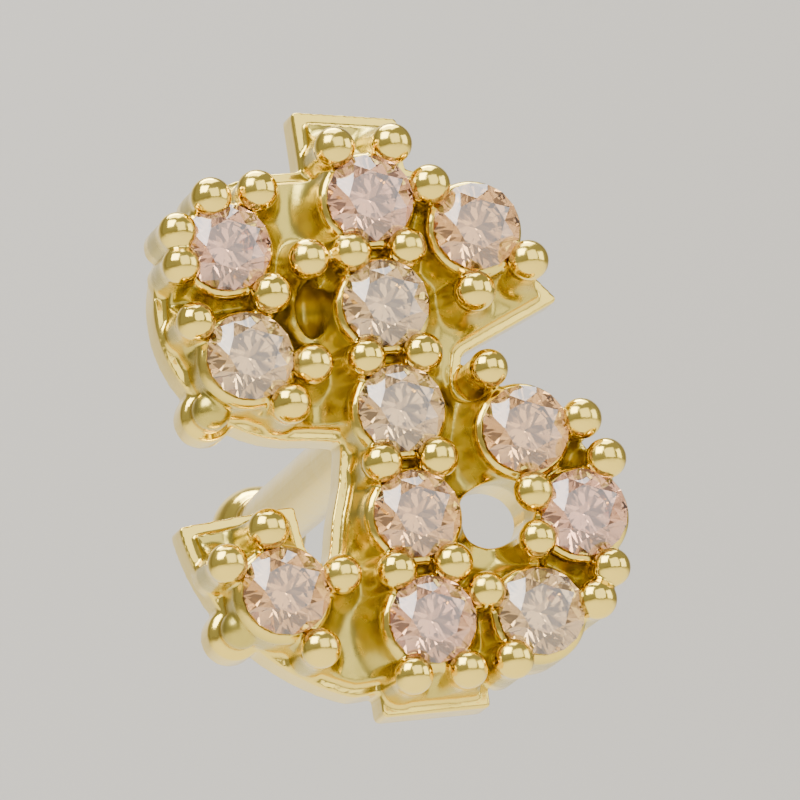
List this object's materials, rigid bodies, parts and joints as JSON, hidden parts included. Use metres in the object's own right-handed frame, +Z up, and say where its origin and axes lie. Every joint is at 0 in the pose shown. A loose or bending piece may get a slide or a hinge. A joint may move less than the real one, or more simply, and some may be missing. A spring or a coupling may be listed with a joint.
{
  "type": "nose stud",
  "caption": "Nose stud with a gem-set dollar-sign head, shared round bead prongs, a ledged back frame with open seats, and a straight post that ends in a small ball.",
  "frame": {"origin": "where the post's axis leaves the head's flat back, which is where the stud pins on", "axes": "+Z up along the dollar sign's upright bar, +Y along the post away from the stones, -Y out of the stones"},
  "size_m": [0.0053, 0.0086, 0.0073],
  "materials": {
    "gold": "polished, gold plated",
    "stone": "faceted and polished"
  },
  "bodies": {
    "root": {"setting_with_post": "gold", "stone_bar_bottom": "stone", "stone_bar_lower": "stone", "stone_bar_centre": "stone", "stone_bar_upper": "stone", "stone_bar_top": "stone", "stone_upper_terminal": "stone", "stone_upper_bowl_1": "stone", "stone_upper_bowl_2": "stone", "stone_lower_bowl_1": "stone", "stone_lower_bowl_2": "stone", "stone_lower_bowl_3": "stone", "stone_lower_terminal": "stone"}
  },
  "joints": []
}
